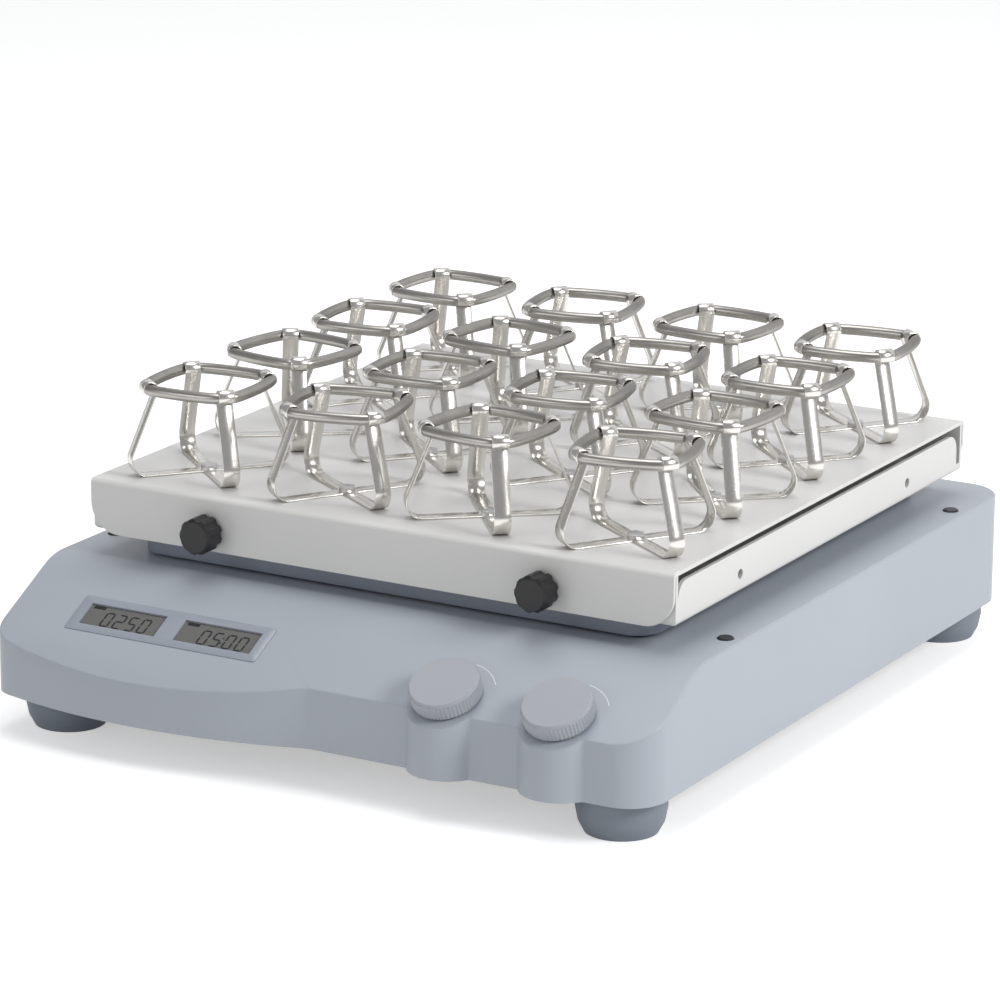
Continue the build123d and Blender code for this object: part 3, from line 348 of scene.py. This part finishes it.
def resampled(line, spacing):
    """Closed line with points at an even spacing."""
    loop = line + [line[0]]
    length = [0.0]
    for a, b in zip(loop, loop[1:]):
        length.append(length[-1] + (b - a).length)
    count = int(length[-1] / spacing / 2) * 2
    points = []
    seg = 0
    for k in range(count):
        at = length[-1] * k / count
        while length[seg + 1] < at:
            seg += 1
        t = (at - length[seg]) / (length[seg + 1] - length[seg])
        points.append(loop[seg].lerp(loop[seg + 1], t))
    return points


def coil_ring(verts, faces):
    """Adds a close-wound coil: a tube whose radius dips between the wire's turns."""
    points = resampled(ring_line(24), 0.3)
    sides = 14
    count = len(points)
    start = len(verts)
    for index, point in enumerate(points):
        along = (points[(index + 1) % count] - points[index - 1]).normalized()
        out = Vector((along.y, -along.x))
        radius = TUBE_R - (0.0 if index % 2 else 0.12)
        for side in range(sides):
            a = 2 * math.pi * side / sides
            r = out * (radius * math.cos(a))
            verts.append((point.x + r.x, point.y + r.y, RING_CENTRE.y + radius * math.sin(a)))
    for index in range(count):
        following = (index + 1) % count
        for side in range(sides):
            a = start + index * sides + side
            b = start + index * sides + (side + 1) % sides
            c = start + following * sides + (side + 1) % sides
            d = start + following * sides + side
            faces.append((a, d, c, b))


leg_verts, leg_faces = [], []
whole = [Vector((-p.x, p.y)) for p in reversed(strip_path(0.0)[1:])] + strip_path(0.0)[1:]
strip(whole, 0.0, leg_verts, leg_faces)
for half_turn in (0, 1):
    quarter = math.pi / 2 + math.pi * half_turn
    strip(strip_path(STRIP_WIDTH / 2 - 0.1), quarter, leg_verts, leg_faces)
ring_verts, ring_faces = [], []
coil_ring(ring_verts, ring_faces)


def placed(verts, faces, row):
    """Copies of a clamp piece at the four places of a row."""
    all_verts, all_faces = [], []
    for column in range(4):
        turn = Matrix.Rotation(math.radians(45 + CLAMP_TURNS[row][column]), 3, "Z")
        shift = Vector((
            (column - 1.5) * CLAMP_PITCH, TABLE_Y + (row - 1.5) * CLAMP_PITCH, TRAY_TOP
        ))
        base = len(all_verts)
        all_verts += [turn @ Vector(v) + shift for v in verts]
        all_faces += [tuple(base + i for i in face) for face in faces]
    return all_verts, all_faces


for row in range(4):
    legs = made(f"clamp_strips_{row + 1}", *placed(leg_verts, leg_faces, row), strip_steel, "table")
    split = legs.modifiers.new("split", "EDGE_SPLIT")
    split.split_angle = math.radians(50)
    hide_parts(f"clamp_legs_row_{row + 1}")
    coils = placed(ring_verts, ring_faces, row)
    rings = made(f"clamp_coils_{row + 1}", *coils, ring_steel, "table")
    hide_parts(f"clamp_rings_row_{row + 1}")


# Display digits
def on_panel(right, down, above):
    """Point on the sloping panel: right of the middle, down the slope and above its face."""
    return PANEL_ORIGIN + PANEL_RIGHT * right - PANEL_UP * down + PANEL_OUT * above


SEGMENTS = {"0": "abcdef", "2": "abged", "5": "afgcd"}
BARS = {
    "a": ((0, 1), (1, 1)),
    "b": ((1, 1), (1, 0.5)),
    "c": ((1, 0.5), (1, 0)),
    "d": ((0, 0), (1, 0)),
    "e": ((0, 0.5), (0, 0)),
    "f": ((0, 1), (0, 0.5)),
    "g": ((0, 0.5), (1, 0.5)),
}
BEZEL_PROUD, LCD_RECESS, INK_LIFT = 0.4, 1.0, 0.04
LCD_ABOVE = BEZEL_PROUD - LCD_RECESS + INK_LIFT


def bar(start, end, width, verts, faces, above=LCD_ABOVE, pointed=True):
    """A flat pointed bar on the panel between two places."""
    along = (end - start).normalized()
    side = Vector((-along.y, along.x)) * width / 2
    tip = along * width / 2
    inset = along * width * 0.12
    a, b = start + inset, end - inset
    if pointed:
        outline = [a, a + tip + side, b - tip + side, b, b - tip - side, a + tip - side]
    else:
        outline = [a + side, b + side, b - side, a - side]
    first = len(verts)
    verts.extend(on_panel(p.x, -p.y, above) for p in outline)
    faces.append(tuple(first + k for k in reversed(range(len(outline)))))


digit_verts, digit_faces = [], []
DIGIT_W, DIGIT_H, STROKE = 4.3, 9.2, 1.0
DIGIT_PITCH, DIGIT_SLANT = 7.3, 0.5
COLON_LEFT, DOT_HALF = 1.7, 0.5
TAG_Y, TAG_LENGTH, TAG_WIDTH = -31.2, 7.4, 2.0
for text, left, colon in (("0250", -131.4, False), ("0500", -74.0, True)):
    low = -42.9
    x = left
    for place, digit in enumerate(text):
        for name in SEGMENTS[digit]:
            p, q = BARS[name]
            bar(
                Vector((x + p[0] * DIGIT_W + DIGIT_SLANT * p[1], low + p[1] * DIGIT_H)),
                Vector((x + q[0] * DIGIT_W + DIGIT_SLANT * q[1], low + q[1] * DIGIT_H)),
                STROKE, digit_verts, digit_faces,
            )
        x += DIGIT_PITCH
        if colon and place == 1:
            for up in (2.7, 6.2):
                low_end = Vector((x - COLON_LEFT, low + up - DOT_HALF))
                high_end = Vector((x - COLON_LEFT, low + up + DOT_HALF))
                bar(low_end, high_end, 0.9, digit_verts, digit_faces, pointed=False)
for left in (-141.0, -85.2):
    tag = (Vector((left, TAG_Y)), Vector((left + TAG_LENGTH, TAG_Y)))
    bar(*tag, TAG_WIDTH, digit_verts, digit_faces, pointed=False)
digits = made("display_digits", digit_verts, digit_faces, lcd_ink, "housing", smooth=False)

# Curved turn marks printed beside the knobs
KNOB_X = (72.3, 133.7)
KNOB_DOWN = 47.66
MARK_R = 23.5
MARK_WIDTH = 0.55
MARK_ABOVE = 0.04
MARK_START, MARK_STEP = 32.0, 6.0
mark_verts, mark_faces = [], []
for knob_x in KNOB_X:
    arc = []
    for step in range(9):
        angle = math.radians(MARK_START + MARK_STEP * step)
        arc.append(Vector((
            knob_x + MARK_R * math.cos(angle), -KNOB_DOWN + MARK_R * math.sin(angle)
        )))
    for start, end in zip(arc, arc[1:]):
        bar(start, end, MARK_WIDTH, mark_verts, mark_faces, above=MARK_ABOVE, pointed=False)
marks = made("turn_marks", mark_verts, mark_faces, print_white, "housing", smooth=False)

# Camera
azimuth, elevation, roll = math.radians(29.55), math.radians(15.81), math.radians(0.347)
forward = Vector((
    -math.sin(azimuth) * math.cos(elevation),
    math.cos(azimuth) * math.cos(elevation),
    -math.sin(elevation),
))
level = Vector((math.cos(azimuth), math.sin(azimuth), 0.0))
upward = level.cross(forward)
right = level * math.cos(roll) + upward * math.sin(roll)
up = upward * math.cos(roll) - level * math.sin(roll)
camera_data = bpy.data.cameras.new("camera")
camera_data.lens = 170.56
camera_data.sensor_width = 36.0
camera_data.clip_start = 0.05
camera_data.clip_end = 60.0
camera = bpy.data.objects.new("camera", camera_data)
scene.collection.objects.link(camera)
camera.location = Vector((-0.05166, 0.07974, 0.07048)) - forward * 2.537
turned = Matrix((right, up, -forward)).transposed()
camera.rotation_mode = "QUATERNION"
camera.rotation_quaternion = turned.to_quaternion()
scene.camera = camera


# Light
def lamp(name, place, target, size, power, colour=(1.0, 1.0, 1.0)):
    data = bpy.data.lights.new(name, "AREA")
    data.shape = "RECTANGLE"
    data.size, data.size_y = size
    data.energy = power
    data.color = colour
    light = bpy.data.objects.new(name, data)
    scene.collection.objects.link(light)
    light.location = place
    light.rotation_mode = "QUATERNION"
    light.rotation_quaternion = (Vector(target) - Vector(place)).to_track_quat("-Z", "Y")
    return light


lamp("key", (2.2, -0.1, 1.5), (0, 0, 0.08), (0.9, 0.8), 35)
lamp("top", (-0.1, 0.25, 2.1), (0, 0, 0.1), (1.3, 1.3), 17)
lamp("front", (-0.9, -2.3, 1.1), (0, 0, 0.08), (1.2, 1.0), 7)

world = bpy.data.worlds.new("studio")
scene.world = world
world.use_nodes = True
world.node_tree.nodes["Background"].inputs["Color"].default_value = (0.97, 0.985, 1.0, 1.0)
world.node_tree.nodes["Background"].inputs["Strength"].default_value = 0.36


# Floor: pale, and white to the camera and to mirrors away from the shaker's shadow
FLOOR_GLOW = 0.45


def white_to_camera(material):
    tree = material.node_tree
    shader = tree.nodes["Principled BSDF"]
    output = tree.nodes["Material Output"]
    path = tree.nodes.new("ShaderNodeLightPath")
    mix = tree.nodes.new("ShaderNodeMixShader")
    glow = tree.nodes.new("ShaderNodeEmission")
    glow.inputs["Strength"].default_value = FLOOR_GLOW
    seen = tree.nodes.new("ShaderNodeMath")
    seen.operation = "MAXIMUM"
    tree.links.new(path.outputs["Is Camera Ray"], seen.inputs[0])
    tree.links.new(path.outputs["Is Glossy Ray"], seen.inputs[1])
    tree.links.new(seen.outputs["Value"], mix.inputs["Fac"])
    tree.links.new(shader.outputs["BSDF"], mix.inputs[1])
    lifted = tree.nodes.new("ShaderNodeAddShader")
    tree.links.new(shader.outputs["BSDF"], lifted.inputs[0])
    tree.links.new(glow.outputs["Emission"], lifted.inputs[1])
    tree.links.new(lifted.outputs["Shader"], mix.inputs[2])
    tree.links.new(mix.outputs["Shader"], output.inputs["Surface"])


floor_material = surface(
    "floor", (0.9, 0.9, 0.9, 1.0), 0.7, mottle=0.01, mottle_scale=3, grain=0.0,
)
white_to_camera(floor_material)
floor_mesh = bpy.data.meshes.new("floor")
sweep = [(-7.0, 0.0), (3.0, 0.0)]
for step in range(1, 17):
    angle = math.pi / 2 * step / 16
    sweep.append((3.0 + 1.5 * math.sin(angle), 1.5 * (1 - math.cos(angle))))
sweep.append((4.5, 6.0))
floor_verts = [(x, y, z) for y, z in sweep for x in (-7.0, 7.0)]
floor_faces = [(2 * k, 2 * k + 1, 2 * k + 3, 2 * k + 2) for k in range(len(sweep) - 1)]
floor_mesh.from_pydata(floor_verts, [], floor_faces)
floor_mesh.shade_smooth()
floor = bpy.data.objects.new("floor", floor_mesh)
scene.collection.objects.link(floor)
floor.data.materials.append(floor_material)

scene.view_settings.view_transform = "Standard"
